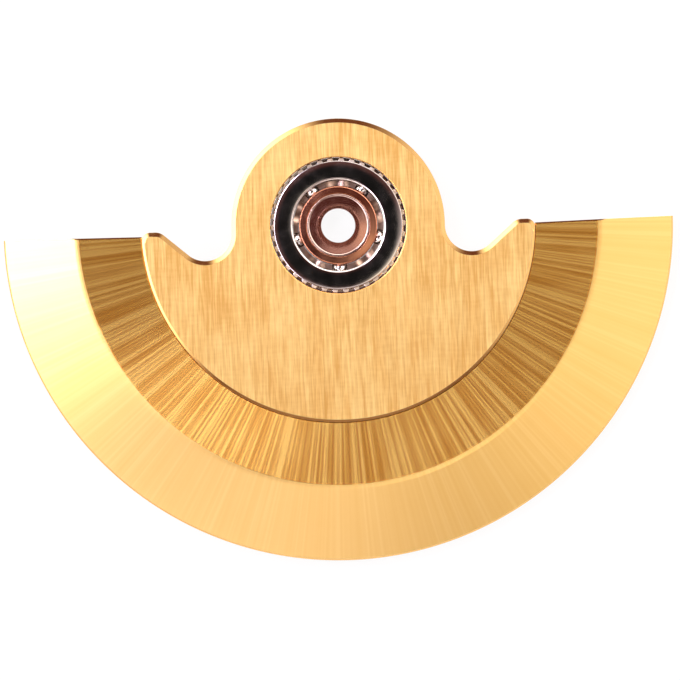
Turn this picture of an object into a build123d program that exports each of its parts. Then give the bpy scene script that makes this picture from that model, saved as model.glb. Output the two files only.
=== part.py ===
"""Automatic watch rotor: a half-disc oscillating weight that turns on a toothed ball bearing.

Millimetres. The origin is on the bearing's axis, where the core's foot sits on the movement's
bridge. +Z points away from the movement, to the finished side. The weight lies towards -Y and
its two wings point along +X and -X.
"""
from build123d import *
from math import asin, atan2, cos, degrees, hypot, radians, sin, sqrt
import os

# Driving sizes of the ball bearing, from the screw bore outwards
bore_radius = 0.64            # clearance bore for the rotor screw
core_wall = 0.53              # tube of the core, from the bore to the seat of the cone
lip_width = 0.09              # rim that the countersink leaves at the top of the tube
lip_rise = 0.03               # rim above the cone, where it is spread over it
lip_edge_break = 0.025
ball_count = 5
ball_radius = 0.30
ball_play = 0.01              # clearance between a ball and each race face
ball_root_gap = 0.125         # from the tube to the nearest point of a ball
race_gap = 0.23               # slot between the inner and outer lands, where the balls show
groove_flat = 0.05            # half the flat at the bottom of each V groove
land_height = 0.20            # plain wall above and below each V groove
foot_height = 0.08            # foot of the core below the races
cone_edge_break = 0.05        # chamfer round the cone's top
flange_edge_break = 0.04      # chamfer under the core's flange
ring_wall = 0.294             # steel between the groove's corner and the roots of the teeth
ring_inner_bevel = 0.14       # shoulders of the outer ring's top
ring_outer_round = 0.20

# Driving sizes of the teeth round the outer ring
gear_module = 0.13
tooth_top_gap = 0.01          # ends of the teeth below the ring's outer shoulder
tooth_root_depth_share = 1.1  # in modules
tooth_head_share = 0.62       # in modules
tooth_root_width_share = 0.60  # of the tooth pitch, at the root
tooth_mid_width_share = 0.46   # of the tooth pitch, on the pitch circle
tooth_tip_width_share = 0.24   # of the tooth pitch, at the tip

# Driving sizes of the ball cage
cage_side_gap = 0.04          # cage to either land
pocket_play = 0.03            # ball to its pocket
cage_web = 0.12               # ring under the pockets
prong_rise = 0.18             # prongs above the balls' middle
crown_dip_radius = 0.65       # hollow between two prongs

# Driving sizes of the plate
plate_thickness = 0.50
ring_recess = 0.10            # bearing's top below the plate's top
plate_radius = 7.38
plate_bevel = 0.16            # polished bevel round the outline
hub_radius = 4.00             # rounded head round the bearing
flank_length = 0.16           # straight side of the head, below the axis
notch_round = 1.00            # hollow between the head and a horn
notch_room_share = 0.45       # most that the hollow's radius takes of the way to the horn
horn_width = 0.695            # flat top of a horn, before its corners are rounded
horn_drop = 0.02              # top of a horn below the axis
horn_inner_round = 0.50
horn_inner_room_share = 0.8   # most that each rounding takes of the horn's flat top
horn_outer_round = 0.30
horn_outer_room_share = 0.6

# Driving sizes of the heavy segment
rotor_radius = 12.60
ledge_width = 1.28            # step that carries the plate
ledge_thickness = 0.50
ledge_setback = 8.0           # degrees that each end of the ledge stays under the plate
seam_gap = 0.01               # plate's edge to the shoulder that centres it
band_step = 0.30              # brushed band above the ledge
band_width = 2.43             # brushed band, from the shoulder to the ridge
band_edge_break = 0.03
rim_fall = 0.45               # fall of the sloping rim, from the ridge to the edge
rim_width_below = 3.20        # thick part of the segment, seen from below
rim_hang = 0.60               # thick part below the ledge
rim_top_break = 0.06
rim_bottom_break = 0.12
rim_corner_break = 0.15       # inner corner under the thick part
wing_drop_inner = 0.17        # wing's edge below the axis, beside the plate
wing_drop_outer = 0.10        # wing's edge below the axis, at the tip

# Driving sizes of the rivets that hold the plate on the ledge
rivet_radius = 0.30
rivet_head_radius = 0.50
rivet_head_height = 0.15
rivet_skin = 0.20             # plate left above a rivet
rivet_angles = (-145, -90, -35)  # degrees round the axis

overrun = 1.0                 # how far cutting shapes run past what they cut

# Bearing radii
tube_radius = bore_radius + core_wall
countersink_radius = tube_radius - lip_width
ball_pitch_radius = tube_radius + ball_root_gap + ball_radius
inner_land_radius = ball_pitch_radius - race_gap / 2
outer_land_radius = ball_pitch_radius + race_gap / 2
groove_reach = (ball_radius + ball_play) * sqrt(2)   # ball's middle to the point of a V
groove_half_height = groove_reach - race_gap / 2

# Bearing heights
ball_plane = foot_height + land_height + groove_half_height
races_top = ball_plane + groove_half_height + land_height
core_top = races_top + lip_rise

# Teeth: as many as fit round the ring
tooth_root_depth = gear_module * tooth_root_depth_share
ring_body_radius = ball_pitch_radius + groove_reach + ring_wall
tooth_count = round(2 * (ring_body_radius + tooth_root_depth) / gear_module)
gear_pitch_radius = gear_module * tooth_count / 2
tooth_root_radius = gear_pitch_radius - tooth_root_depth
tooth_tip_radius = gear_pitch_radius + gear_module * tooth_head_share
teeth_top = races_top - ring_outer_round - tooth_top_gap

# Plate and segment heights
plate_top = races_top + ring_recess
plate_bottom = plate_top - plate_thickness
ledge_bottom = plate_bottom - ledge_thickness
band_top = plate_bottom + band_step
rim_edge_top = band_top - rim_fall
rim_bottom = ledge_bottom - rim_hang

# Segment radii
ledge_inner_radius = plate_radius - ledge_width
shoulder_radius = plate_radius + seam_gap
ridge_radius = plate_radius + band_width
rim_inner_radius = rotor_radius - rim_width_below
rivet_circle_radius = plate_radius - ledge_width / 2


def at(radius, angle):
    """A point in the plan, from its radius and its angle in degrees."""
    return (radius * cos(radians(angle)), radius * sin(radians(angle)))


def turned(points, rounds=()):
    """A body turned about the axis. Points are (radius, height), rounds are (point, radius)."""
    section = make_face(Polyline(*points, close=True))
    for corner, radius in rounds:
        section = fillet(section.vertices().sort_by_distance((*corner, 0))[:1], radius)
    return revolve(Plane.XZ * section, Axis.Z)


def turned_block(inner, outer, bottom, top):
    """A plain ring between two radii and two heights."""
    return turned([(inner, bottom), (outer, bottom), (outer, top), (inner, top)])


def round_bar(radius, bottom, top, place=(0, 0)):
    """An upright cylinder between two heights."""
    bar = Cylinder(radius, top - bottom, align=(Align.CENTER, Align.CENTER, Align.MIN))
    return Pos(*place, bottom) * bar


def race_groove():
    """The turned space that the balls run in: a square on its corner, with its points cut off."""
    inner = ball_pitch_radius - groove_reach + groove_flat
    outer = ball_pitch_radius + groove_reach - groove_flat
    return turned([
        (inner, ball_plane - groove_flat),
        (ball_pitch_radius, ball_plane - groove_reach),
        (outer, ball_plane - groove_flat),
        (outer, ball_plane + groove_flat),
        (ball_pitch_radius, ball_plane + groove_reach),
        (inner, ball_plane + groove_flat),
    ])


def make_bearing_core():
    """Tube with a countersunk screw bore, a foot, and a flange that is the lower inner race."""
    tube = turned([
        (bore_radius, 0),
        (tube_radius, 0),
        (tube_radius, core_top - lip_edge_break),
        (tube_radius - lip_edge_break, core_top),
        (countersink_radius, core_top),
        (bore_radius, core_top - (countersink_radius - bore_radius)),
    ])
    flange = turned([
        (bore_radius, foot_height),
        (inner_land_radius - flange_edge_break, foot_height),
        (inner_land_radius, foot_height + flange_edge_break),
        (inner_land_radius, ball_plane),
        (bore_radius, ball_plane),
    ])
    return tube + flange - race_groove()


def make_bearing_cone():
    """Ring pressed on the core's tube. Its underside is the upper inner race."""
    ring = turned([
        (tube_radius, ball_plane),
        (inner_land_radius, ball_plane),
        (inner_land_radius, races_top - cone_edge_break),
        (inner_land_radius - cone_edge_break, races_top),
        (tube_radius, races_top),
    ])
    return ring - race_groove()


def tooth_profile():
    """One tooth along +X: root inside the ring's body, flanks of two flats each, narrow tip."""
    step = 360 / tooth_count
    corners = [
        (tooth_root_radius - tooth_root_depth, tooth_root_width_share),
        (tooth_root_radius, tooth_root_width_share),
        (gear_pitch_radius, tooth_mid_width_share),
        (tooth_tip_radius, tooth_tip_width_share),
    ]
    low = [at(radius, -step * share / 2) for radius, share in corners]
    high = [at(radius, step * share / 2) for radius, share in reversed(corners)]
    return make_face(Polyline(*low, *high, close=True))


def make_bearing_outer_ring():
    """Outer race with a polished round shoulder, and teeth over its height."""
    shoulder = (tooth_root_radius, races_top)
    body = turned([
        (outer_land_radius, foot_height),
        (tooth_root_radius, foot_height),
        shoulder,
        (outer_land_radius + ring_inner_bevel, races_top),
        (outer_land_radius, races_top - ring_inner_bevel),
    ], rounds=[(shoulder, ring_outer_round)])
    tooth = extrude(Pos(0, 0, foot_height) * tooth_profile(), teeth_top - foot_height)
    return body + PolarLocations(0, tooth_count) * tooth - race_groove()


def ball_angle(index):
    """Direction of a ball from the axis. The first lies towards the weight."""
    return -90 + index * 360 / ball_count


def make_ball(index):
    return Pos(*at(ball_pitch_radius, ball_angle(index)), ball_plane) * Sphere(ball_radius)


def make_ball_cage():
    """Crown cage: a ring under the balls, with prongs that close over each pocket."""
    inner = inner_land_radius + cage_side_gap
    outer = outer_land_radius - cage_side_gap
    pocket_radius = ball_radius + pocket_play
    cage = turned_block(
        inner, outer, ball_plane - pocket_radius - cage_web, ball_plane + prong_rise
    )
    pocket = Pos(ball_pitch_radius, 0, ball_plane) * Rot(0, 90, 0) * Cylinder(
        pocket_radius, race_gap + overrun
    )
    dip = Pos(ball_pitch_radius, 0, ball_plane + crown_dip_radius) * Rot(0, 90, 0) * Cylinder(
        crown_dip_radius, race_gap + overrun
    )
    for index in range(ball_count):
        cage -= Rot(0, 0, ball_angle(index)) * pocket
        cage -= Rot(0, 0, ball_angle(index + 0.5)) * dip
    return cage


def plate_outline():
    """Round head, a hollow each side, and a half disc with a rounded horn at each end."""
    horn_inner = Vector(plate_radius - horn_width, -horn_drop)
    horn_outer = Vector(sqrt(plate_radius**2 - horn_drop**2), -horn_drop)
    room = horn_inner.X - hub_radius
    hollow = min(notch_round, room * notch_room_share)
    center = Vector(hub_radius + hollow, -flank_length)
    to_horn = horn_inner - center
    distance = hypot(to_horn.X, to_horn.Y)
    slope = degrees(atan2(to_horn.Y, to_horn.X) + asin(hollow / distance))
    with BuildSketch() as outline:
        with BuildLine():
            ThreePointArc((0, hub_radius), at(hub_radius, 45), (hub_radius, 0))
            Line((hub_radius, 0), (hub_radius, -flank_length))
            hollow_arc = CenterArc(center, hollow, 180, 90 + slope)
            Line(hollow_arc @ 1, horn_inner)
            Line(horn_inner, horn_outer)
            ThreePointArc(horn_outer, at(plate_radius, -45), (0, -plate_radius))
            mirror(about=Plane.YZ)
        make_face()
        corners = outline.vertices()
        for side in (1, -1):
            inner = corners.sort_by_distance((side * horn_inner.X, horn_inner.Y, 0))[:1]
            fillet(inner, min(horn_inner_round, horn_width * horn_inner_room_share))
            corners = outline.vertices()
            outer = corners.sort_by_distance((side * horn_outer.X, horn_outer.Y, 0))[:1]
            fillet(outer, min(horn_outer_round, horn_width * horn_outer_room_share))
            corners = outline.vertices()
    return outline.sketch


def make_rotor_plate():
    """Flat brushed plate with a polished bevel, bored for the toothed ring."""
    plate = extrude(Pos(0, 0, plate_bottom) * plate_outline(), plate_thickness)
    rim = plate.faces().sort_by(Axis.Z)[-1].outer_wire().edges()
    plate = chamfer(rim, plate_bevel)
    plate -= round_bar(tooth_tip_radius, plate_bottom - overrun, plate_top + overrun)
    for angle in rivet_angles:
        place = at(rivet_circle_radius, angle)
        plate -= round_bar(rivet_radius, plate_bottom - overrun, plate_top - rivet_skin, place)
    return plate


def wing_side():
    """Everything on the weight's side of the wings' straight edges."""
    far = rotor_radius + overrun
    rise = (wing_drop_inner - wing_drop_outer) / (rotor_radius - shoulder_radius)
    at_middle = -wing_drop_inner - rise * shoulder_radius
    at_far = at_middle + rise * far
    half_plan = make_face(Polyline(
        (0, at_middle), (far, at_far), (far, -far), (-far, -far), (-far, at_far), close=True
    ))
    return extrude(Pos(0, 0, rim_bottom - overrun) * half_plan, plate_top - rim_bottom + overrun)


def ledge_side():
    """The sector that the ledge fills, so that its ends stay hidden under the plate."""
    far = rotor_radius + overrun
    right = at(far, -ledge_setback)
    plan = make_face(Polyline(
        (0, 0), right, (far, -far), (-far, -far), (-right[0], right[1]), close=True
    ))
    return extrude(Pos(0, 0, ledge_bottom - overrun) * plan, ledge_thickness + overrun * 2)


def make_weight_segment():
    """Half ring: a ledge under the plate, a flat brushed band, a sloping rim and a thick edge."""
    ring = turned([
        (shoulder_radius, ledge_bottom),
        (shoulder_radius, band_top - band_edge_break),
        (shoulder_radius + band_edge_break, band_top),
        (ridge_radius, band_top),
        (rotor_radius - rim_top_break, rim_edge_top),
        (rotor_radius, rim_edge_top - rim_top_break),
        (rotor_radius, rim_bottom + rim_bottom_break),
        (rotor_radius - rim_bottom_break, rim_bottom),
        (rim_inner_radius + rim_bottom_break, rim_bottom),
        (rim_inner_radius, rim_bottom + rim_bottom_break),
        (rim_inner_radius, ledge_bottom - rim_corner_break),
        (rim_inner_radius - rim_corner_break, ledge_bottom),
    ])
    ledge = turned_block(
        ledge_inner_radius, shoulder_radius + seam_gap, ledge_bottom, plate_bottom
    )
    segment = (ring & wing_side()) + (ledge & ledge_side())
    for angle in rivet_angles:
        segment -= rivet(angle)
    return segment


def rivet(angle):
    """Flush rivet from below: a countersunk head, and a pin that ends inside the plate."""
    shape = turned([
        (0, ledge_bottom),
        (rivet_head_radius, ledge_bottom),
        (rivet_radius, ledge_bottom + rivet_head_height),
        (rivet_radius, plate_top - rivet_skin),
        (0, plate_top - rivet_skin),
    ])
    return Pos(*at(rivet_circle_radius, angle)) * shape


def make_segment_rivets():
    return Compound([rivet(angle).solid() for angle in rivet_angles])


def main():
    pieces = {
        "rotor_plate": make_rotor_plate(),
        "weight_segment": make_weight_segment(),
        "segment_rivets": make_segment_rivets(),
        "bearing_outer_ring": make_bearing_outer_ring(),
        "bearing_core": make_bearing_core(),
        "bearing_cone": make_bearing_cone(),
        "ball_cage": make_ball_cage(),
    }
    for index in range(ball_count):
        pieces[f"ball_{index + 1}"] = make_ball(index)
    os.makedirs("parts", exist_ok=True)
    for name, piece in pieces.items():
        export_step(piece, f"parts/{name}.step")
    print("teeth", tooth_count, "pitch radius", gear_pitch_radius, "tip radius", tooth_tip_radius)
    print("ball circle", ball_pitch_radius, "ball plane", ball_plane, "races' top", races_top)
    print("plate", plate_bottom, plate_top, "band", band_top, "rim", rim_bottom, rim_edge_top)
    print("screw bore wall", core_top - (countersink_radius - bore_radius))


main()
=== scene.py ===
# %% [markdown]
# # The rotor of an automatic watch
#
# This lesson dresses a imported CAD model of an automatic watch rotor: a gilt half disc that swings
# on a small ball bearing. The CAD model comes in as a fixed frame. Every visible piece is then
# modelled again round it with smooth curves, rounded edges and real finishes: straight brushing on
# the plate, brushing in rays on the heavy segment, black polished steel and copper-toned rings.
#
# Lengths are written in millimetres, as a watchmaker would, and turned into metres when they
# reach Blender.

# %% Load the frame
from math import atan, atan2, cos, hypot, pi, radians, sin, sqrt, tan

import bmesh
import bpy
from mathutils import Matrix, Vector


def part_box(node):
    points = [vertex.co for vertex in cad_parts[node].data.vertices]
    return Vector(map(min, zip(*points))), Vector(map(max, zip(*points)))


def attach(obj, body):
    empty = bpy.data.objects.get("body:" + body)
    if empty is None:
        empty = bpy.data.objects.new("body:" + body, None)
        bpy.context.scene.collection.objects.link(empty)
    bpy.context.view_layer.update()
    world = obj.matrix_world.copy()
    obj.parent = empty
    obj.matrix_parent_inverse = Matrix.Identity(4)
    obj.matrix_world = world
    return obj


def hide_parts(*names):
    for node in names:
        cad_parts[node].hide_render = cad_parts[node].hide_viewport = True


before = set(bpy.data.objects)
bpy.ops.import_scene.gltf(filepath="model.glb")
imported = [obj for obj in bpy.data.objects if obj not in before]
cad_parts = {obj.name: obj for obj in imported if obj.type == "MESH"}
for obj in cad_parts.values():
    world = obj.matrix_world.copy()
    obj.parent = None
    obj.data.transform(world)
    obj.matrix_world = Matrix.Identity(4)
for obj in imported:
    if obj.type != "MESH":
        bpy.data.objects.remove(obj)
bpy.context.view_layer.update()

MM = 0.001


# %% [markdown]
# ## Sizes
#
# The turning axis is Z, and the origin is where the bearing's foot stands on the movement. These
# are the sizes of the CAD model, so that each new piece lands exactly on the node that it stands
# for. Heights that one piece shares with another are worked out from the boxes of the nodes.

# %% Sizes of the rotor, in millimetres
def height_of(node, end):
    """Height of a node's lowest (0) or highest (1) point."""
    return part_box(node)[end].z / MM


plate_bottom, plate_top = height_of("rotor_plate", 0), height_of("rotor_plate", 1)
races_top = height_of("bearing_outer_ring", 1)
foot_height = height_of("bearing_outer_ring", 0)
core_top = height_of("bearing_core", 1)
ball_plane = (height_of("ball_1", 0) + height_of("ball_1", 1)) / 2
rim_bottom, band_top = height_of("weight_segment", 0), height_of("weight_segment", 1)
ledge_bottom = height_of("segment_rivets", 0)
rivet_top = height_of("segment_rivets", 1)

bore_radius = 0.64
tube_radius = 1.17
countersink_radius = 1.08
inner_land_radius = 1.48
outer_land_radius = 1.71
ball_pitch_radius = 1.595
ball_radius = 0.30
ball_count = 5
groove_reach = 0.4384
groove_flat = 0.05
tooth_count = 38
tooth_root_radius = 2.327
tooth_tip_radius = 2.5506
teeth_top = races_top - 0.21

plate_radius = 7.38
hub_radius = 4.0
shoulder_radius = 7.39
ledge_inner_radius = 6.10
ridge_radius = 9.81
rotor_radius = 12.60
rim_inner_radius = 9.40
rim_edge_top = band_top - 0.45
ledge_setback = radians(8)
print("plate from", round(plate_bottom, 3), "to", round(plate_top, 3), "mm")


# %% [markdown]
# ## Helpers for modelling
#
# Each piece is modelled by hand tools: add a primitive, go into edit mode, pick faces or edges by
# where they are, then extrude, inset, bevel or spin them. An operator acts on all that is
# selected, so everything is deselected before a primitive is added.

# %% Start a piece and pick parts of it
WELD = 1e-7


def clear_hands():
    """Leaves edit mode and deselects every piece."""
    if bpy.context.object and bpy.context.object.mode == "EDIT":
        bpy.ops.object.mode_set(mode="OBJECT")
    bpy.ops.object.select_all(action="DESELECT")


def start(name, primitive, **settings):
    """Adds a primitive under a name and goes into edit mode with all of it selected."""
    clear_hands()
    primitive(**settings)
    piece = bpy.context.object
    piece.name = piece.data.name = name
    bpy.ops.object.transform_apply(location=True, rotation=True, scale=True)
    bpy.ops.object.mode_set(mode="EDIT")
    return piece


def pick(kind, test):
    """Selects the corners, edges or faces whose middle, in mm, passes a test."""
    bpy.ops.mesh.select_mode(type=kind)
    bpy.ops.mesh.select_all(action="DESELECT")
    mesh = bmesh.from_edit_mesh(bpy.context.object.data)
    chosen = 0
    for part in {"VERT": mesh.verts, "EDGE": mesh.edges, "FACE": mesh.faces}[kind]:
        corners = [part] if kind == "VERT" else part.verts
        middle = sum((v.co for v in corners), Vector()) / len(corners) / MM
        if test(part, middle):
            part.select_set(True)
            chosen += 1
    mesh.select_flush_mode()
    bmesh.update_edit_mesh(bpy.context.object.data)
    return chosen


def on_circle(radius, height, slack=0.002):
    """A test for the edges that lie on a circle about the axis."""
    def test(edge, middle):
        return all(
            abs(hypot(v.co.x, v.co.y) / MM - radius) < slack and abs(v.co.z / MM - height) < slack
            for v in edge.verts
        )
    return test


# %% Move, cut and tidy
def move(x=0, y=0, z=0):
    """Moves what is selected, in mm."""
    bpy.ops.transform.translate(value=(x * MM, y * MM, z * MM))


def grow_from_axis(times):
    """Scales what is selected in the plan, away from the axis."""
    bpy.ops.transform.resize(value=(times, times, 1), center_override=(0, 0, 0))


def slice_mesh(place, normal, **sides):
    """Cuts all of the mesh by a plane; the slack is far below Blender's own, made for metres."""
    bpy.ops.mesh.select_all(action="SELECT")
    bpy.ops.mesh.bisect(plane_co=Vector(place) * MM, plane_no=normal, threshold=WELD / 10, **sides)


def tidy_mesh():
    """Welds doubles and turns all faces outwards."""
    bpy.ops.mesh.select_mode(type="VERT")
    bpy.ops.mesh.select_all(action="SELECT")
    bpy.ops.mesh.remove_doubles(threshold=WELD)
    bpy.ops.mesh.select_all(action="SELECT")
    bpy.ops.mesh.normals_make_consistent(inside=False)


# %% [markdown]
# Most parts of a watch are turned on a lathe, and a lathe is what this helper is: a circle that is
# extruded, widened and lifted from point to point of a section. A Screw modifier could turn a
# drawn section too, but here each point of the section stays a full circle of edges, which is
# easy to find again by its radius and height when it has to be rounded.

# %% Turn a section on the lathe
def lathe(name, section, steps=192, closed=True):
    """Turns a section of (radius, height) points: a circle is extruded from point to point."""
    radius, height = section[0]
    piece = start(name, bpy.ops.mesh.primitive_circle_add, vertices=steps,
                  radius=radius * MM, location=(0, 0, height * MM))
    stops = section[1:] + section[:1] if closed else section[1:]
    for next_radius, next_height in stops:
        bpy.ops.mesh.extrude_region_move()
        grow_from_axis(next_radius / radius)
        move(z=next_height - height)
        radius, height = next_radius, next_height
    if not closed:
        pick("EDGE", lambda edge, middle: edge.is_boundary)
        bpy.ops.mesh.fill_holes(sides=0)
    tidy_mesh()
    return piece


def round_circle(radius, height, size, segments=5):
    """Rounds the edges on one circle of a turned piece."""
    pick("EDGE", on_circle(radius, height))
    bpy.ops.mesh.bevel(offset=size * MM, segments=segments, affect="EDGES", clamp_overlap=True)


# %% [markdown]
# Modifiers are applied as soon as they are set, so that the next tool finds real faces. Weighted
# normals keep a flat face flat to the light when the bevels beside it are smooth, and without them
# every polished top would look like a pillow. At the end a piece is told which moving body it
# rides on, and the CAD nodes that it stands for are hidden.

# %% Apply modifiers, smooth and hand over
def take(*pieces):
    """Selects just these pieces, the first of them as the active one."""
    clear_hands()
    for piece in pieces:
        piece.select_set(True)
    bpy.context.view_layer.objects.active = pieces[0]


def joined(pieces, name):
    """Joins meshes that are one CAD node into one object."""
    take(*pieces)
    bpy.ops.object.join()
    whole = bpy.context.object
    whole.name = whole.data.name = name
    return whole


def modify(piece, kind, **settings):
    """Adds a modifier, sets it and applies it."""
    take(piece)
    modifier = piece.modifiers.new(kind.title(), kind)
    for key, value in settings.items():
        setattr(modifier, key, value)
    bpy.ops.object.modifier_apply(modifier=modifier.name)


def cut_away(piece, cutter):
    """Cuts one mesh from another and removes the cutter."""
    modify(piece, "BOOLEAN", operation="DIFFERENCE", object=cutter, solver="EXACT")
    bpy.data.objects.remove(cutter)


def break_edges(piece, width, segments=2):
    """Breaks every sharp edge with a hair of a bevel, as a file does."""
    modify(piece, "BEVEL", width=width * MM, segments=segments, limit_method="ANGLE",
           angle_limit=radians(40), use_clamp_overlap=True)


def give_finishes(piece, finishes, finish_of):
    """Puts finishes on a piece: finish_of says which of them a face gets, by its middle in mm."""
    for finish in finishes:
        piece.data.materials.append(finish)
    for face in piece.data.polygons:
        face.material_index = finishes.index(finish_of(face, face.center / MM))


def resize(piece, times):
    """Makes a mesh larger or smaller. Blender takes the tiny areas of a watch part for nothing
    when it weighs normals by area, so that step is done at a thousand times the size."""
    piece.scale = (times, times, times)
    bpy.ops.object.transform_apply(location=False, rotation=False, scale=True)


def hand_over(piece, body, nodes, smooth=35):
    """Smooths a finished piece, gives it its body and hides the CAD nodes that it stands for."""
    take(piece)
    bpy.ops.object.shade_smooth_by_angle(angle=radians(smooth))
    resize(piece, 1 / MM)
    modify(piece, "WEIGHTED_NORMAL", mode="FACE_AREA", weight=100, keep_sharp=True)
    resize(piece, MM)
    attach(piece, body)
    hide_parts(*nodes)
    piece.data.calc_loop_triangles()
    print(piece.name, len(piece.data.loop_triangles), "triangles")


# %% [markdown]
# ## Shader maths
#
# A material here is a short Python expression. One class wraps a node's socket, so that `a * b`
# or `1 - a` adds the Math node that it stands for. One method adds any other node.

# %% Sockets as numbers
class Wire:
    """An output socket that can be added, subtracted, multiplied and divided."""

    def __init__(self, tree, socket):
        self.tree, self.socket = tree, socket

    def maths(self, operation, first, second):
        return self.tree.node("Math", {"operation": operation}, {0: first, 1: second})

    def __add__(self, other):
        return self.maths("ADD", self, other)

    def __mul__(self, other):
        return self.maths("MULTIPLY", self, other)

    def __sub__(self, other):
        return self.maths("SUBTRACT", self, other)

    def __rsub__(self, other):
        return self.maths("SUBTRACT", other, self)

    def __truediv__(self, other):
        return self.maths("DIVIDE", self, other)

    def __rtruediv__(self, other):
        return self.maths("DIVIDE", other, self)

    __radd__, __rmul__ = __add__, __mul__

    def between(self, low, high, to_low=0.0, to_high=1.0, smooth=True):
        """The value as a share of the way from low to high, held inside those ends."""
        kind = "SMOOTHSTEP" if smooth else "LINEAR"
        return self.tree.node("MapRange", {"interpolation_type": kind, "clamp": True}, {
            "From Min": low, "From Max": high, "To Min": to_low, "To Max": to_high, "Value": self,
        })


# %% A tree of nodes
class Nodes:
    """A node tree of a material or of the world."""

    def __init__(self, owner):
        owner.use_nodes = True
        self.tree = owner.node_tree
        self.tree.nodes.clear()

    def node(self, kind, settings=None, sockets=None, out=0):
        """Adds a node: its settings first, then numbers or wires on its sockets."""
        made = self.tree.nodes.new("ShaderNode" + kind)
        for key, value in (settings or {}).items():
            if key == "stops":
                ramp = made.color_ramp
                while len(ramp.elements) < len(value):
                    ramp.elements.new(1.0)
                for element, (place, colour) in zip(ramp.elements, value):
                    element.position, element.color = place, (*colour, 1.0)
            else:
                setattr(made, key, value)
        for key, value in (sockets or {}).items():
            if isinstance(value, Wire):
                self.tree.links.new(value.socket, made.inputs[key])
            else:
                made.inputs[key].default_value = value
        return Wire(self, made.outputs[out]) if made.outputs else None

    def blend(self, share, low, high):
        """A colour between two colours."""
        return self.node("Mix", {"data_type": "RGBA"}, {
            0: share, 6: (*low, 1.0), 7: (*high, 1.0),
        }, out=2)

    def vector(self, x, y, z):
        return self.node("CombineXYZ", None, {"X": x, "Y": y, "Z": z})

    def place(self):
        """The place on the piece in millimetres, as three numbers."""
        where = self.node("TexCoord", None, None, out=3)
        split = self.node("SeparateXYZ", None, {"Vector": where})
        outs = split.socket.node.outputs
        return [Wire(self, outs[i]) * (1 / MM) for i in range(3)]

    def from_axis(self, x, y):
        """The distance from the turning axis."""
        return self.node("Math", {"operation": "SQRT"}, {0: x * x + y * y})

    def noise(self, x, y, z, detail):
        """Smooth noise; the factor on a coordinate is about how many spots it makes in a mm."""
        return self.node("TexNoise", {"noise_dimensions": "3D"}, {
            "Vector": self.vector(x, y, z), "Scale": 1.0, "Detail": detail, "Roughness": 0.55,
        })

    def bump(self, height, depth):
        """A normal from a height of 0 to 1 that stands for this many mm."""
        return self.node("Bump", None, {
            "Height": height, "Distance": depth * MM, "Strength": 1.0,
        })

    def rays(self, *kinds):
        """1 for a ray of one of these kinds, and 0 for any other."""
        path = self.node("LightPath").socket.node.outputs
        seen = [Wire(self, path[f"Is {kind} Ray"]) for kind in kinds]
        return sum(seen[1:], seen[0])

    def metal(self, colour, roughness, normal=None, anisotropic=0.0):
        """A metal surface and the material's output."""
        sockets = {"Base Color": colour, "Roughness": roughness, "Anisotropic": anisotropic,
                   "Metallic": 1.0}
        if normal:
            sockets["Normal"] = normal
        surface = self.node("BsdfPrincipled", None, sockets)
        self.node("OutputMaterial", None, {"Surface": surface})


# %% [markdown]
# ## Camera
#
# The photograph looks straight down on the rotor from far away, with the rotor turned by about
# two degrees. The camera stands over the middle of the picture with a long lens, so that nothing
# leans outwards.

# %% Look straight down
picture_width = 25.5
picture_middle = (-0.094, -4.305)
picture_turn = radians(2.15)
lens, sensor = 200.0, 36.0

camera = bpy.data.objects.new("camera", bpy.data.cameras.new("camera"))
bpy.context.scene.collection.objects.link(camera)
camera.data.lens, camera.data.sensor_width = lens, sensor
distance = picture_width / 2 / (sensor / 2 / lens)
camera.location = (*(Vector(picture_middle) * MM), (distance + band_top) * MM)
camera.rotation_euler = (0, 0, -picture_turn)
camera.data.clip_start, camera.data.clip_end = 0.005, 10.0
bpy.context.scene.camera = camera
print("camera stands", round(distance), "mm above the rotor")


# %% [markdown]
# ## Finishes
#
# Brushing is thousands of fine parallel grooves. They spread a reflection sideways, across the
# grooves, which is what a shader's anisotropy does. Blender spreads it along circles about the
# middle of a mesh's texture space, so that space is moved: onto the turning axis for brushing in
# rays, and far away for straight brushing. The streaks that the eye sees one by one are noise,
# drawn out along the grooves, in the colour and the roughness. They could be modelled as bumps,
# but at a few hundredths of a millimetre those only turn to glitter in the picture.

# %% Gilt with straight brushing
def texture_space(piece, middle):
    """Puts the middle of a mesh's texture space at a place in the plan."""
    piece.data.use_auto_texspace = False
    piece.data.texspace_location = (*middle, 0)
    piece.data.texspace_size = (1, 1, 1)


def brushed_plate_finish():
    """Gilt with straight brushing along Y."""
    material = bpy.data.materials.new("gilt_brushed_straight")
    t = Nodes(material)
    x, y, z = t.place()
    wide = t.noise(x * 4.5, y * 0.22, z, detail=2)
    middle = t.noise(x * 11, y * 0.5, z + 3, detail=2)
    fine = t.noise(x * 20, y * 1.2, z + 6, detail=1)
    weave = t.noise(x * 1.6, y * 8, z + 8, detail=2)
    cloud = t.noise(x * 0.7, y * 0.5, z, detail=3)
    streak = wide * 0.9 + middle * 1.2 + fine * 1.0 + weave * 0.35 + cloud * 0.6
    tone = streak.between(1.66, 2.40, smooth=False)
    scratch = t.noise(x * 8, y * 0.35, z + 9, detail=1).between(0.66, 0.76)
    colour = t.blend((tone - scratch * 0.6).between(0, 1, smooth=False),
                     (0.72, 0.39, 0.10), (1.0, 0.70, 0.26))
    roughness = middle.between(0.3, 0.7, 0.37, 0.32, smooth=False)
    t.metal(colour, roughness, anisotropic=0.83)
    return material


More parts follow.
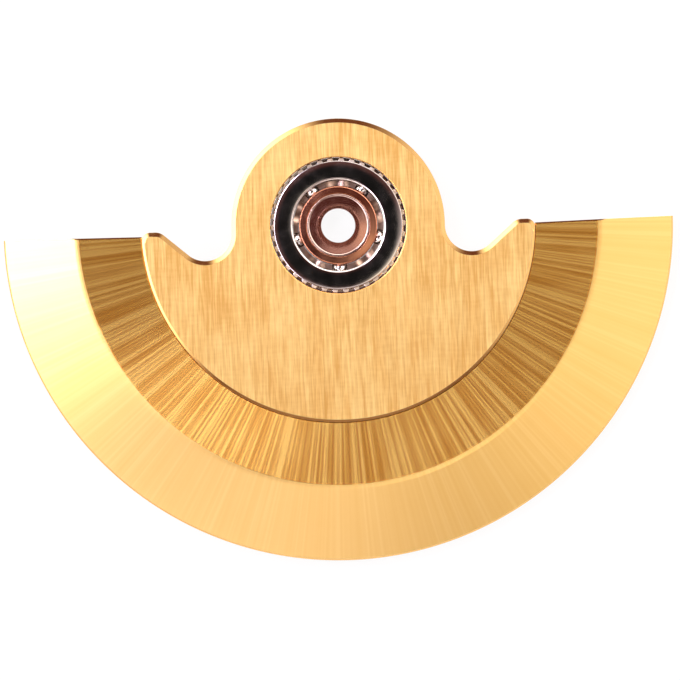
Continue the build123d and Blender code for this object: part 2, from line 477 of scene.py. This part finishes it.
# %% Gilt with brushing in rays
def brushed_ray_finish(name, dark, light, rough, spread, seed=0.0, strength=1.0):
    """Gilt brushed in rays from the turning axis, with wide rays, fine rays and soft patches, and
    painted glints: sparse rays whose colour is made lighter as a painted highlight.
    """
    material = bpy.data.materials.new(name)
    t = Nodes(material)
    x, y = t.place()[:2]
    turn = t.node("Math", {"operation": "ARCTAN2"}, {0: y, 1: x})
    radius = t.from_axis(x, y)
    patch = t.noise(turn * 9, radius * 0.5, 1.0 + seed, detail=1)
    wide = t.noise(turn * 36, radius * 0.10, 3.0 + seed, detail=0)
    ray = t.noise(turn * 120, radius * 0.05, 5.0 + seed, detail=0)
    hair = t.noise(turn * 190, radius * 0.10, 7.0 + seed, detail=0)
    # painted highlight: where a fine ray and a wide ray meet, the colour is made lighter, a painted
    # glint
    painted_glint = ray.between(0.56, 0.72) * wide.between(0.32, 0.52)
    streak = (patch - 0.5) * 0.9 + (wide - 0.5) * 0.9 + (ray - 0.5) * 1.7 + (hair - 0.5) * 0.8
    tone = streak * strength + painted_glint * (0.6 * strength) + 0.43
    t.metal(t.blend(tone.between(0, 1, smooth=False), dark, light), rough, anisotropic=spread)
    return material


# %% [markdown]
# The bevels and walls are cut with a diamond and mirror the room, with a slight haze that keeps
# the mirror from looking like glass. The sides that nobody sees are plainly turned.

# %% Polished and plain gilt
def polished_gilt_finish(name, clear, hazy):
    """Gilt, diamond-polished, with a haze that varies between two roughnesses."""
    material = bpy.data.materials.new(name)
    t = Nodes(material)
    x, y, z = t.place()
    haze = t.noise(x * 3, y * 3, z * 3, detail=4)
    colour = t.blend(haze, (0.90, 0.55, 0.19), (0.97, 0.63, 0.25))
    t.metal(colour, haze.between(0.3, 0.7, clear, hazy, smooth=False))
    return material


def satin_gilt_finish():
    """Gilt over a cast and turned back, for the hidden sides."""
    material = bpy.data.materials.new("gilt_satin")
    t = Nodes(material)
    x, y, z = t.place()
    radius = t.from_axis(x, y)
    rings = t.noise(radius * 16, z * 16, 1.0, detail=3)
    cloud = t.noise(x * 1.1, y * 1.1, z, detail=4)
    tone = rings * 0.6 + cloud * 0.4
    colour = t.blend(tone.between(0.3, 0.7), (0.90, 0.50, 0.13), (0.93, 0.60, 0.22))
    t.metal(colour, tone.between(0.3, 0.7, 0.42, 0.32), t.bump(rings, 0.0008))
    return material


# %% Mix the gilt finishes
plate_brushed = brushed_plate_finish()
# painted shade and painted light: band and rim are one gilt, but the band gets a darker, more
# orange copy of its colour and the rim a lighter, paler one
band_brushed_painted_shade = brushed_ray_finish("gilt_band_rays_painted_shade", (0.70, 0.32, 0.05), (1.0, 0.62, 0.17),
                                  rough=0.27, spread=0.90)
rim_brushed_painted_light = brushed_ray_finish("gilt_rim_rays_painted_light", (0.93, 0.60, 0.18), (1.0, 0.69, 0.245),
                                 rough=0.305, spread=0.80, seed=20.0, strength=0.35)
gilt_polished = polished_gilt_finish("gilt_polished", 0.10, 0.18)
gilt_mirror = polished_gilt_finish("gilt_mirror", 0.03, 0.05)
gilt_satin = satin_gilt_finish()
print("gilt finishes:", sum(m.name.startswith("gilt_") for m in bpy.data.materials))


# %% [markdown]
# Steel and bronze of the bearing. The toothed ring is polished like a black mirror: it looks dark
# because it mirrors the dark space over it, not because the metal is. The inner rings are turned
# and have a copper tone.

# %% Steel, copper tone and bronze
def turned_finish(name, dark, light, rough, groove):
    """Metal with fine turning marks round the axis: roughness, and depth of a mark in mm."""
    material = bpy.data.materials.new(name)
    t = Nodes(material)
    x, y, z = t.place()
    radius = t.from_axis(x, y)
    rings = t.noise(radius * 30, z * 30, 1.0, detail=3)
    cloud = t.noise(x * 2, y * 2, z * 2, detail=3)
    colour = t.blend((rings * 0.5 + cloud * 0.5).between(0.3, 0.7), dark, light)
    roughness = cloud.between(0.3, 0.7, rough - 0.03, rough + 0.04, smooth=False)
    t.metal(colour, roughness, t.bump(rings, groove))
    return material


ring_steel = turned_finish("steel_black_polish", (0.56, 0.50, 0.48), (0.66, 0.61, 0.59),
                           rough=0.09, groove=0.00002)
# painted highlight: a lighter copy of the ring's steel for the tooth ends and the inner chamfer;
# its higher roughness is the hob's real finish, its lighter colour is painted
tooth_steel_painted_highlight = turned_finish("steel_hobbed_painted_highlight", (0.74, 0.66, 0.60), (0.94, 0.88, 0.82),
                            rough=0.45, groove=0.0002)
core_copper = turned_finish("steel_copper_light", (0.62, 0.42, 0.36), (0.71, 0.51, 0.45),
                            rough=0.11, groove=0.00005)
cone_copper = turned_finish("steel_copper_deep", (0.50, 0.21, 0.125), (0.62, 0.28, 0.175),
                            rough=0.15, groove=0.00005)
bronze = turned_finish("bronze_cage", (0.36, 0.23, 0.17), (0.52, 0.36, 0.29),
                       rough=0.30, groove=0.0002)
ball_steel = turned_finish("steel_ball", (0.86, 0.85, 0.84), (0.93, 0.92, 0.91),
                           rough=0.07, groove=0.00002)
rivet_brass = turned_finish("brass_rivet", (0.70, 0.45, 0.16), (0.88, 0.62, 0.27),
                            rough=0.28, groove=0.0006)
bearing_finishes = (ring_steel, tooth_steel_painted_highlight, core_copper, cone_copper, bronze, ball_steel)
print("bearing finishes:", ", ".join(finish.name for finish in bearing_finishes))


# %% [markdown]
# ## The plate
#
# The plate is a half disc with a round head for the bearing, a hollow each side of the head and a
# rounded horn at each end. Its outline could be drawn as a curve and pulled by its handles, but the
# arcs would be only nearly round. So one corner is extruded along the straight runs and spun round
# the centres of the arcs, which keeps each radius true, and a mirror makes the other half.

# %% Sizes and strokes of the plate's outline
plate_bevel, bevel_depth = 0.16, 0.115
arc_bevel = 0.09
bore_bevel = 0.025
edge_break = 0.02
flank_length = 0.16
notch_round = 1.0
horn_width, horn_drop = 0.695, 0.02
horn_inner_round, horn_outer_round = 0.50, 0.30


def spin_corner(centre, angle, step=radians(2.5)):
    """Spins the selected corner about a centre; with no window, spin takes angles clockwise."""
    steps = max(2, round(abs(angle) / step))
    bpy.ops.mesh.spin(steps=steps, angle=-angle, center=(centre[0] * MM, centre[1] * MM, 0),
                      axis=(0, 0, 1), dupli=False)


def extrude_corner(start_point, end_point):
    bpy.ops.mesh.extrude_vertices_move()
    move(end_point[0] - start_point[0], end_point[1] - start_point[1])


def fillet_of(corner, before, after, radius):
    """Start, centre, turning angle and end of a fillet in the corner of two straight runs."""
    a, b = (before - corner).normalized(), (after - corner).normalized()
    half = a.angle(b) / 2
    reach = radius / tan(half)
    centre = corner + (a + b).normalized() * (radius / sin(half))
    turning = -(pi - 2 * half) if a.x * b.y - a.y * b.x > 0 else pi - 2 * half
    return corner + a * reach, centre, turning, corner + b * reach


# %% [markdown]
# The points where the runs and arcs meet follow from the sizes. The run from the hollow to the
# horn touches the hollow's circle, and the horn's outer corner is rounded between a straight top
# and the plate's own big arc.

# %% Draw half of the outline
def plate_half_outline():
    """Corner to corner from the top of the head to the bottom of the big arc, on the +X side."""
    hollow_centre = Vector((hub_radius + notch_round, -flank_length))
    horn_inner = Vector((plate_radius - horn_width, -horn_drop))
    to_horn = horn_inner - hollow_centre
    run_length = sqrt(to_horn.length_squared - notch_round**2)
    lean = atan2(to_horn.y, to_horn.x) + atan(notch_round / run_length)
    touch = hollow_centre + notch_round * Vector((sin(lean), -cos(lean)))
    horn_far = Vector((plate_radius, -horn_drop))
    round_start, round_centre, round_turn, round_end = fillet_of(
        horn_inner, touch, horn_far, horn_inner_round
    )
    small = horn_outer_round
    small_y = -horn_drop - small
    small_centre = Vector((sqrt((plate_radius - small) ** 2 - small_y**2), small_y))
    small_start = Vector((small_centre.x, -horn_drop))
    small_turn = -(pi / 2 - atan2(small_centre.y, small_centre.x))
    small_end = small_centre * (plate_radius / small_centre.length)

    bpy.ops.mesh.merge(type="CENTER")
    spin_corner((0, 0), -pi / 2, radians(1.5))
    extrude_corner((hub_radius, 0), (hub_radius, -flank_length))
    spin_corner(hollow_centre, pi / 2 + lean)
    extrude_corner(touch, round_start)
    spin_corner(round_centre, round_turn)
    extrude_corner(round_end, small_start)
    spin_corner(small_centre, small_turn, radians(6))
    spin_corner((0, 0), -(pi / 2 + atan2(small_end.y, small_end.x)), radians(0.75))
    return small_end


# %% [markdown]
# The closed outline is filled, raised to the foot of the bevel, inset and raised again, so the
# bevel is one clean strip all the way round. A Bevel modifier could cut it afterwards, but it would
# bunch up in the tight arcs of the horns. The bore is cut last, with a tool turned to its form.

# %% Raise the plate and bore it
def make_plate():
    piece = start("plate", bpy.ops.mesh.primitive_circle_add, vertices=3, radius=0.01 * MM,
                  location=(0, hub_radius * MM, plate_bottom * MM))
    small_end = plate_half_outline()
    bpy.ops.mesh.select_all(action="SELECT")
    bpy.ops.mesh.remove_doubles(threshold=WELD)
    modify(piece, "MIRROR", use_axis=(True, False, False), use_mirror_merge=True,
           merge_threshold=WELD * 10)
    bpy.ops.object.mode_set(mode="EDIT")
    bpy.ops.mesh.select_all(action="SELECT")
    bpy.ops.mesh.edge_face_add()
    bpy.ops.mesh.extrude_region_move()
    move(z=plate_top - plate_bottom - bevel_depth)
    bpy.ops.mesh.inset(thickness=plate_bevel * MM, depth=0, use_even_offset=True)
    move(z=bevel_depth)

    # along the big arc the bevel is narrower: its two rings of corners move towards the edge
    def near_arc(radius, height):
        def test(vert, middle):
            off_circle = abs(hypot(middle.x, middle.y) - radius)
            return (abs(middle.z - height) < 0.001 and off_circle < 0.02
                    and middle.y < small_end.y - 0.05)
        return test
    pick("VERT", near_arc(plate_radius, plate_top - bevel_depth))
    move(z=bevel_depth - arc_bevel * bevel_depth / plate_bevel)
    pick("VERT", near_arc(plate_radius - plate_bevel, plate_top))
    grow_from_axis((plate_radius - arc_bevel) / (plate_radius - plate_bevel))
    tidy_mesh()
    return piece


def bore_tool():
    """The bore for the toothed ring with its bevel, as a solid that is cut away."""
    over = 0.3
    return lathe("bore_tool", [
        (tooth_tip_radius, plate_bottom - over),
        (tooth_tip_radius, plate_top - bore_bevel),
        (tooth_tip_radius + bore_bevel + over, plate_top + over),
    ], steps=228, closed=False)


plate = make_plate()
cut_away(plate, bore_tool())
print("plate with its bore:", len(plate.data.polygons), "faces")


# %% [markdown]
# ## The heavy segment
#
# The segment is a half ring of heavy metal: a ledge under the plate, a flat band brushed in rays,
# a soft ridge, a rim that slopes down to the edge, and a thick part below. A real one can be turned
# as a full ring and sawn in two. Here its whole section is turned in the same way, cut down to a
# quarter along the wing's straight edge, and mirrored, which keeps both wings alike. A second,
# sloping cut leaves a narrow facet along the top of the wing.

# %% Sizes of the segment's edges
wing_drop_inner, wing_drop_outer = 0.17, 0.10
facet_width, facet_slope = 0.055, radians(37)
ridge_round = 0.12
rim_chamfer = 0.12
root_chamfer = 0.15
outer_edge = 0.06
band_edge = 0.03
segment_steps = 480
print("one step of the segment is", round(2 * pi * rotor_radius / segment_steps, 3), "mm")


# %% Turn and cut the segment
def make_segment():
    """Turns the whole section, ledge and all, cuts the wing's edge and mirrors the quarter."""
    piece = lathe("segment", [
        (ledge_inner_radius, ledge_bottom),
        (ledge_inner_radius, plate_bottom),
        (shoulder_radius, plate_bottom),
        (shoulder_radius, band_top - band_edge),
        (shoulder_radius + band_edge, band_top),
        (ridge_radius, band_top),
        (rotor_radius - outer_edge, rim_edge_top),
        (rotor_radius, rim_edge_top - outer_edge),
        (rotor_radius, rim_bottom + rim_chamfer),
        (rotor_radius - rim_chamfer, rim_bottom),
        (rim_inner_radius + rim_chamfer, rim_bottom),
        (rim_inner_radius, rim_bottom + rim_chamfer),
        (rim_inner_radius, ledge_bottom - root_chamfer),
        (rim_inner_radius - root_chamfer, ledge_bottom),
        (shoulder_radius, ledge_bottom),
    ], steps=segment_steps)
    round_circle(ridge_radius, band_top, ridge_round, segments=8)
    slice_mesh((0, 0, 0), (1, 0, 0), clear_inner=True)
    end_ledge()
    wing = Vector((rotor_radius - shoulder_radius, wing_drop_inner - wing_drop_outer, 0))
    across = Vector((-wing.y, wing.x, 0)).normalized()
    slice_mesh((shoulder_radius, -wing_drop_inner, 0), across, clear_outer=True, use_fill=True)
    facet_normal = across * sin(facet_slope) + Vector((0, 0, cos(facet_slope)))
    slice_mesh((shoulder_radius, -wing_drop_inner - facet_width, band_top), facet_normal,
               clear_outer=True, use_fill=True)
    modify(piece, "MIRROR", use_axis=(True, False, False), use_mirror_merge=True,
           merge_threshold=WELD * 10)
    return piece


def end_ledge():
    """Cuts the ledge off where it stops short of the wing, and closes the cut."""
    out = Vector((sin(ledge_setback), cos(ledge_setback), 0))
    slice_mesh((0, 0, 0), out)

    def beyond(middle):
        return Vector(middle).dot(out) > 0.001

    pick("FACE", lambda face, middle: beyond(middle) and middle.z < plate_bottom + 0.001
         and hypot(middle.x, middle.y) < shoulder_radius - 0.05)
    bpy.ops.mesh.delete(type="FACE")
    pick("EDGE", lambda edge, middle: edge.is_boundary and beyond(middle) and middle.x > 0.01
         and abs(hypot(middle.x, middle.y) - shoulder_radius) < 0.01)
    bpy.ops.mesh.bridge_edge_loops()
    pick("EDGE", lambda edge, middle: edge.is_boundary and abs(Vector(middle).dot(out)) < 0.001)
    bpy.ops.mesh.edge_face_add()


segment = make_segment()
print("quarter of the segment, mirrored:", len(segment.data.polygons), "faces")


# %% [markdown]
# ## Rivets
#
# Three flush rivets hold the plate on the ledge. They are countersunk from below, so only the
# turned heads show, on the side that faces the movement. The same section makes a rivet and, a
# hair larger, the tool for its hole, so that the two always fit.

# %% Rivets and their holes
rivet_radius, rivet_head_radius, rivet_head_height = 0.30, 0.50, 0.15
rivet_circle = plate_radius - 0.64
rivet_angles = (-145, -90, -35)
rivet_play = 0.012


def make_rivet(name, angle, gap=0.0):
    """A countersunk rivet at an angle in degrees round the axis, or with a gap the tool for it.

    The tool also starts below the ledge, so that it cuts cleanly through its face."""
    start_height = ledge_bottom - gap * 9
    piece = lathe(name, [
        (rivet_head_radius * 0.3, start_height),
        (rivet_head_radius + gap, start_height),
        (rivet_head_radius + gap, ledge_bottom),
        (rivet_radius + gap, ledge_bottom + rivet_head_height),
        (rivet_radius + gap, rivet_top - 0.05 + gap),
        (rivet_radius * 0.8, rivet_top),
    ], steps=64, closed=False)
    bpy.ops.mesh.select_all(action="SELECT")
    move(rivet_circle * cos(radians(angle)), rivet_circle * sin(radians(angle)))
    bpy.ops.object.mode_set(mode="OBJECT")
    return piece


rivets = [make_rivet(f"rivet_{i}", angle) for i, angle in enumerate(rivet_angles)]
for angle in rivet_angles:
    for holed in (segment, plate):
        cut_away(holed, make_rivet("rivet_tool", angle, gap=rivet_play))
rivets = joined(rivets, "rivets")
rivets.data.materials.append(rivet_brass)
hand_over(rivets, "rotor", ["segment_rivets"])


# %% [markdown]
# ## Edges and finishes of plate and segment
#
# A file or a mill leaves no edge quite sharp, and the hair of a bevel on each edge is what catches
# the light. Then each face gets the finish of its place: brushing on the tops, polish on the
# bevels and walls, and a plain satin gilt below. The plate's texture space goes far away along
# its brushing, so that the brushing is straight.

# %% Break the edges and finish the plate
level = 0.9995
near = 0.001
hidden_edge = 0.1
far_away = (0, 100)


def plate_finish(face, middle):
    if face.normal.z > level and middle.z > plate_top - near:
        return plate_brushed
    return gilt_polished if middle.z > plate_bottom + hidden_edge else gilt_satin


break_edges(plate, edge_break)
give_finishes(plate, [gilt_satin, plate_brushed, gilt_polished], plate_finish)
texture_space(plate, far_away)
hand_over(plate, "rotor", ["rotor_plate"])


# %% [markdown]
# The facet along the top of each wing is a clean mirror, which shows as a thin dark line because
# it reflects the dark ceiling. Smooth shading would tilt its corners towards the faces round it,
# and they would light up. So the facet's border is marked as sharp.

# %% Break the edges and finish the segment
facet_reach = 0.6
sloping_top = 0.95


def segment_finish(face, middle):
    radius = hypot(middle.x, middle.y)
    # the band's brushing has the darker gilt of painted shade, the rim's the lighter gilt of
    # painted light
    if face.normal.z > level and middle.z > band_top - near:
        return band_brushed_painted_shade
    if face.normal.z > sloping_top and middle.z > rim_edge_top - 0.01:
        return rim_brushed_painted_light if radius > ridge_radius - 0.05 else band_brushed_painted_shade
    if face.normal.z > 0.7 and middle.y > -facet_reach:
        return gilt_mirror
    on_wall = middle.z > rim_bottom + hidden_edge and radius > rim_inner_radius + hidden_edge
    return gilt_polished if on_wall or middle.z > band_top - hidden_edge else gilt_satin


segment_finishes = [gilt_satin, band_brushed_painted_shade, rim_brushed_painted_light, gilt_polished, gilt_mirror]
break_edges(segment, edge_break)
give_finishes(segment, segment_finishes, segment_finish)
texture_space(segment, (0, 0))
bpy.ops.object.mode_set(mode="EDIT")
facet = segment_finishes.index(gilt_mirror)
print("facet faces:", pick("FACE", lambda face, middle: face.material_index == facet))
bpy.ops.mesh.region_to_loop()
bpy.ops.mesh.mark_sharp()
hand_over(segment, "rotor", ["weight_segment"], smooth=30)


# %% [markdown]
# ## The toothed ring
#
# The outer race is a turned ring. Its top is a very low dome, and a shine chamfer runs round it,
# so that it mirrors the light of the room in thin rings. A dark web closes the gaps between the
# teeth inside the plate's bore, where the photograph shows no light coming through.

# %% Section of the outer ring
faces_per_tooth = 5
dome_apex, dome_outside, dome_inside = 2.07, 2.385, 1.754
outer_drop, inner_drop = 0.0175, 0.0150
shine_radius, shine_drop = 2.42, outer_drop + 0.009
inner_chamfer_drop = 0.03
shine_foot = 0.04
shine_round = 0.012
tooth_foot = 0.04
dome_steps = 8


def dome():
    """Points over the top, from the outer edge across the apex to the inner edge."""
    for step in range(dome_steps + 1):
        share = 1 - step / dome_steps
        yield dome_apex + (dome_outside - dome_apex) * share, races_top - outer_drop * share**2
    for step in range(1, dome_steps + 1):
        share = step / dome_steps
        yield dome_apex - (dome_apex - dome_inside) * share, races_top - inner_drop * share**2


def turn_outer_ring():
    """The ring without its teeth; its ball groove has two flanks at 45 degrees and a flat floor."""
    floor_radius = ball_pitch_radius + groove_reach - groove_flat
    land = floor_radius - outer_land_radius + groove_flat
    return lathe("outer_ring", [
        (outer_land_radius, foot_height),
        (tooth_root_radius, foot_height),
        (tooth_root_radius, foot_height + tooth_foot),
        (tooth_root_radius, teeth_top),
        (shine_radius, teeth_top + shine_foot),
        (shine_radius, races_top - shine_drop),
        *dome(),
        (outer_land_radius, races_top - inner_drop - inner_chamfer_drop),
        (outer_land_radius, ball_plane + land),
        (floor_radius, ball_plane + groove_flat),
        (floor_radius, ball_plane - groove_flat),
        (outer_land_radius, ball_plane - land),
    ], steps=tooth_count * faces_per_tooth)


# %% [markdown]
# The teeth grow out of the ring's own wall: the wall is divided so that three of every five faces
# belong to a tooth, and insets that also lift them make a tapered tooth. Thirty-eight cutters and
# a Boolean could do it as the hob does, but they would leave slivers that catch the light. The
# top of each tooth is flattened again. Near its tip it has the rougher finish of the hob and a
# lighter steel colour, which is a painted highlight; the rest is black polished with the ring.

# %% Teeth and web
tooth_steps = ((0.014, 0.098), (0.007, 0.045), (0.027, 0.055), (0.013, 0.0256))
tooth_top_drop = 0.004
web_overlap, web_clearance = 0.02, 0.004
web_inner_height, web_outer_height = 0.06, 0.085


def in_tooth(face, middle):
    turn = (atan2(middle.y, middle.x) / (2 * pi / tooth_count) + 0.5) % 1.0
    return (abs(hypot(middle.x, middle.y) - tooth_root_radius) < 0.01 and abs(turn - 0.5) < 0.25
            and foot_height + tooth_foot < middle.z < teeth_top - 0.01)


def on_tooth_top(vert, middle):
    radius = hypot(middle.x, middle.y)
    return (-0.055 < middle.z - teeth_top < 0.03
            and tooth_root_radius + 0.05 < radius < tooth_tip_radius - 0.015)


def make_outer_ring():
    piece = turn_outer_ring()
    print("tooth faces:", pick("FACE", in_tooth))
    for taper, growth in tooth_steps:
        bpy.ops.mesh.inset(thickness=taper * MM, depth=growth * MM)
    pick("VERT", on_tooth_top)
    flat_height = (teeth_top - tooth_top_drop) * MM
    bpy.ops.transform.resize(value=(1, 1, 0), center_override=(0, 0, flat_height))
    round_circle(shine_radius, races_top - shine_drop, shine_round, segments=3)
    break_edges(piece, 0.012)
    return piece


def make_tooth_web():
    inside, outside = tooth_root_radius - web_overlap, tooth_tip_radius - web_clearance
    return lathe("tooth_web", [
        (inside, plate_bottom),
        (outside, plate_bottom),
        (outside, plate_bottom + web_outer_height),
        (inside, plate_bottom + web_inner_height),
    ], steps=152)


def ring_finish(face, middle):
    """Rough steel with a lighter colour, a painted highlight, on the tooth ends that show and on
    the chamfer inside the top; else polished.
    """
    radius = hypot(middle.x, middle.y)
    # these two places get the painted highlight of the lighter steel
    tooth_end = face.normal.z > level and abs(middle.z - teeth_top) < 0.01 and radius > 2.41
    inner_chamfer = (outer_land_radius + 0.003 < radius < dome_inside - 0.002
                     and middle.z > races_top - 0.08)
    return tooth_steel_painted_highlight if tooth_end or inner_chamfer else ring_steel


outer_ring = joined([make_outer_ring(), make_tooth_web()], "outer_ring")
give_finishes(outer_ring, [ring_steel, tooth_steel_painted_highlight], ring_finish)
hand_over(outer_ring, "rotor", ["bearing_outer_ring"])


# %% [markdown]
# ## The inner rings
#
# The core is a tube with a countersunk bore for the rotor's screw and a flange that is the lower
# race. The cone is pressed on it and is the upper race. Both are plain turned parts, so their
# look depends on well rounded edges. The cone's top falls a little to the outside, which lets it
# mirror the bright side of the room.

# %% Core and cone
inner_groove = ball_pitch_radius - groove_reach + groove_flat
inner_reach = ball_pitch_radius - inner_land_radius
countersink_depth = 0.525
countersink_edge = countersink_radius + 0.02
tube_chamfer = 0.012
flange_chamfer = 0.04
cone_fall = 0.024
cone_edge, cone_bore_edge = 0.04, 0.03


def make_core():
    piece = lathe("core", [
        (bore_radius, 0.0),
        (tube_radius, 0.0),
        (tube_radius, foot_height),
        (inner_land_radius - flange_chamfer, foot_height),
        (inner_land_radius, foot_height + flange_chamfer),
        (inner_land_radius, ball_plane - groove_reach + inner_reach),
        (inner_groove, ball_plane - groove_flat),
        (inner_groove, ball_plane),
        (tube_radius, ball_plane),
        (tube_radius, core_top - tube_chamfer),
        (tube_radius - tube_chamfer, core_top),
        (countersink_edge, core_top),
        (bore_radius, core_top - countersink_depth),
    ], steps=144)
    round_circle(tube_radius - tube_chamfer, core_top, 0.010, 3)
    round_circle(countersink_edge, core_top, 0.028, 6)
    round_circle(bore_radius, core_top - countersink_depth, 0.012, 3)
    return piece


def make_cone():
    piece = lathe("cone", [
        (tube_radius, ball_plane),
        (inner_groove, ball_plane),
        (inner_groove, ball_plane + groove_flat),
        (inner_land_radius, ball_plane + groove_reach - inner_reach),
        (inner_land_radius, races_top - cone_fall - cone_edge),
        (inner_land_radius - cone_edge, races_top - cone_fall),
        (tube_radius + cone_bore_edge, races_top),
        (tube_radius, races_top - cone_bore_edge),
    ], steps=144)
    round_circle(inner_land_radius, races_top - cone_fall - cone_edge, 0.015, 4)
    round_circle(inner_land_radius - cone_edge, races_top - cone_fall, 0.015, 4)
    return piece


core = make_core()
break_edges(core, 0.01)
core.data.materials.append(core_copper)
hand_over(core, "bearing_inner", ["bearing_core"])
cone = make_cone()
break_edges(cone, 0.01)
cone.data.materials.append(cone_copper)
hand_over(cone, "bearing_inner", ["bearing_cone"])


# %% [markdown]
# ## Cage and balls
#
# The crown cage is a thin ring with a round pocket for each ball and a dip between two pockets. It
# keeps the balls apart and touches neither ring. The pockets are cut with round rods, as a drill
# and a milling cutter would, and the edges are rounded as by tumbling.

# %% Cage
def ball_turn(index):
    return radians(-90 + index * 360 / ball_count)


def radial_rod(radius, turn, height):
    """A rod that crosses the cage's wall, as a tool."""
    rod = start("cage_tool", bpy.ops.mesh.primitive_cylinder_add, vertices=64,
                radius=radius * MM, depth=0.6 * MM,
                location=(ball_pitch_radius * cos(turn) * MM, ball_pitch_radius * sin(turn) * MM,
                          height * MM),
                rotation=(0, pi / 2, turn))
    bpy.ops.object.mode_set(mode="OBJECT")
    return rod


def make_cage():
    """The ring stands clear of both lands by a gap; its prongs end above the balls' middle."""
    gap, play, web, prong, dip = 0.015, 0.03, 0.12, 0.18, 0.65
    low = ball_plane - ball_radius - play - web
    piece = lathe("cage", [
        (inner_land_radius + gap, low),
        (outer_land_radius - gap, low),
        (outer_land_radius - gap, ball_plane + prong),
        (inner_land_radius + gap, ball_plane + prong),
    ], steps=180)
    for index in range(ball_count):
        cut_away(piece, radial_rod(ball_radius + play, ball_turn(index), ball_plane))
        cut_away(piece, radial_rod(dip, ball_turn(index + 0.5), ball_plane + dip))
    break_edges(piece, 0.035, segments=3)
    return piece


cage = make_cage()
cage.data.materials.append(bronze)
hand_over(cage, "cage", ["ball_cage"])


# %% [markdown]
# A ball could be a UV sphere, but that has two poles where the mirror finish would pinch. A cube
# that is divided and drawn out to a sphere has even faces all over.

# %% Balls
for index in range(ball_count):
    turn = ball_turn(index)
    ball = start(f"steel_ball_{index + 1}", bpy.ops.mesh.primitive_cube_add, size=ball_radius * MM)
    bpy.ops.mesh.subdivide(number_cuts=15)
    bpy.ops.object.mode_set(mode="OBJECT")
    modify(ball, "CAST", cast_type="SPHERE", factor=1.0, size=ball_radius * MM,
           use_radius_as_size=False, radius=0.0)
    bpy.ops.object.mode_set(mode="EDIT")
    bpy.ops.mesh.select_all(action="SELECT")
    move(ball_pitch_radius * cos(turn), ball_pitch_radius * sin(turn), ball_plane)
    ball.data.materials.append(ball_steel)
    hand_over(ball, f"rolling_ball_{index + 1}", [f"ball_{index + 1}"], smooth=60)


# %% [markdown]
# ## Floor and light
#
# The photograph has a pure white ground. More light could bleach the floor to white, but it would
# bleach the rotor too. So the floor keeps a little of its own shadow, and to the camera, and to
# metal that mirrors it, it glows only as much as plain white does.

# %% Floor
floor_gap = 0.01
floor = start("floor", bpy.ops.mesh.primitive_plane_add, size=2.0,
              location=(0, 0, (rim_bottom - floor_gap) * MM))
bpy.ops.object.mode_set(mode="OBJECT")
paper = bpy.data.materials.new("white_paper")
t = Nodes(paper)
seen = t.rays("Camera", "Glossy", "Transmission")
lit = t.node("BsdfDiffuse", None, {"Color": (0.9, 0.9, 0.9, 1)})
glow = t.node("Emission", None, {"Color": (1, 1, 1, 1), "Strength": 1.0})
share = seen.between(0.0, 1.0, 0.0, 0.9, smooth=False)
t.node("OutputMaterial", None, {"Surface": t.node("MixShader", None, {0: share, 1: lit, 2: glow})})
floor.data.materials.append(paper)
print("floor at", round(rim_bottom - floor_gap, 3), "mm")


# %% [markdown]
# Metal shows what stands round it, so the world is a small studio. For the camera it is plain
# white. For the metal it has a dark ceiling, two strong soft lights at the left of the picture, a
# wide fading light at its upper right, and weaker ones at the bottom, at the right and along the
# horizon. A faint warm light at the lower right reddens what it reaches. Lamps would show in the
# polish as hard white shapes, so all brightness is a soft function of direction.

# %% Soft lights
world = bpy.data.worlds.new("studio")
bpy.context.scene.world = world
t = Nodes(world)
way = t.node("TexCoord", None, None, out=0)
parts = t.node("SeparateXYZ", None, {"Vector": way}).socket.node.outputs
east, north = Wire(t, parts["X"]), Wire(t, parts["Y"])
flat = t.from_axis(east, north)


def light(turn, spread, stops, strength):
    """A soft light at a turn in degrees round the rotor, between two heights of the sky.

    Stops are distances from the top of the sky, 0 overhead and 1 at the horizon."""
    toward = (east * cos(radians(turn)) + north * sin(radians(turn))) / (flat + 0.0001)
    width = toward.between(cos(radians(spread)), 1.0)
    start_a, start_b, end_a, end_b = stops
    height = flat.between(start_a, start_b) - flat.between(end_a, end_b)
    return width * height * strength


left = (light(149, 32, (0.36, 0.42, 0.51, 0.55), 18.0)
        + light(203, 39, (0.49, 0.52, 0.64, 0.67), 8.8))
warm = light(-36, 34, (0.15, 0.23, 0.25, 0.31), 1.4)
power = left + warm
weaker_lights = (
    (56, 80, (0.32, 0.92, 0.79, 0.89), 7.1),
    (-21, 25, (0.26, 0.35, 0.49, 0.55), 0.2),
    (-113, 54, (0.59, 0.65, 0.79, 0.85), 2.8),
    (-88, 45, (0.17, 0.25, 0.34, 0.40), 0.9),
    (-90, 50, (0.82, 0.92, 2.0, 3.0), 0.22),
    (-18, 55, (0.08, 0.30, 0.50, 0.62), 0.66),
    (162, 68, (0.80, 0.92, 2.0, 3.0), 4.0),
    (10, 66, (0.80, 0.92, 2.0, 3.0), 1.0),
)
for turn, spread, stops, strength in weaker_lights:
    power = power + light(turn, spread, stops, strength)
overhead_glow = 0.012
power = power + overhead_glow
print("weaker lights:", len(weaker_lights))


# %% [markdown]
# The lights are nearly white, with more blue in the left ones. Everywhere but overhead the room
# itself glows faintly red, which fills the dark sides of the bearing and of the bevels.

# %% World
room = flat.between(0.12, 0.26)
glow = t.vector(power + room * 0.15,
                power * 0.98 + room * 0.05 - warm * 0.1,
                power * 0.94 + left * 0.26 + room * 0.04 - warm * 0.35)
studio = t.node("Background", None, {"Color": glow, "Strength": 1.0})
white = t.node("Background", None, {"Color": (1, 1, 1, 1), "Strength": 1.0})
seen = t.rays("Camera", "Transmission")
t.node("OutputWorld", None, {"Surface": t.node("MixShader", None, {0: seen, 1: studio, 2: white})})

bpy.context.scene.view_settings.view_transform = "Standard"
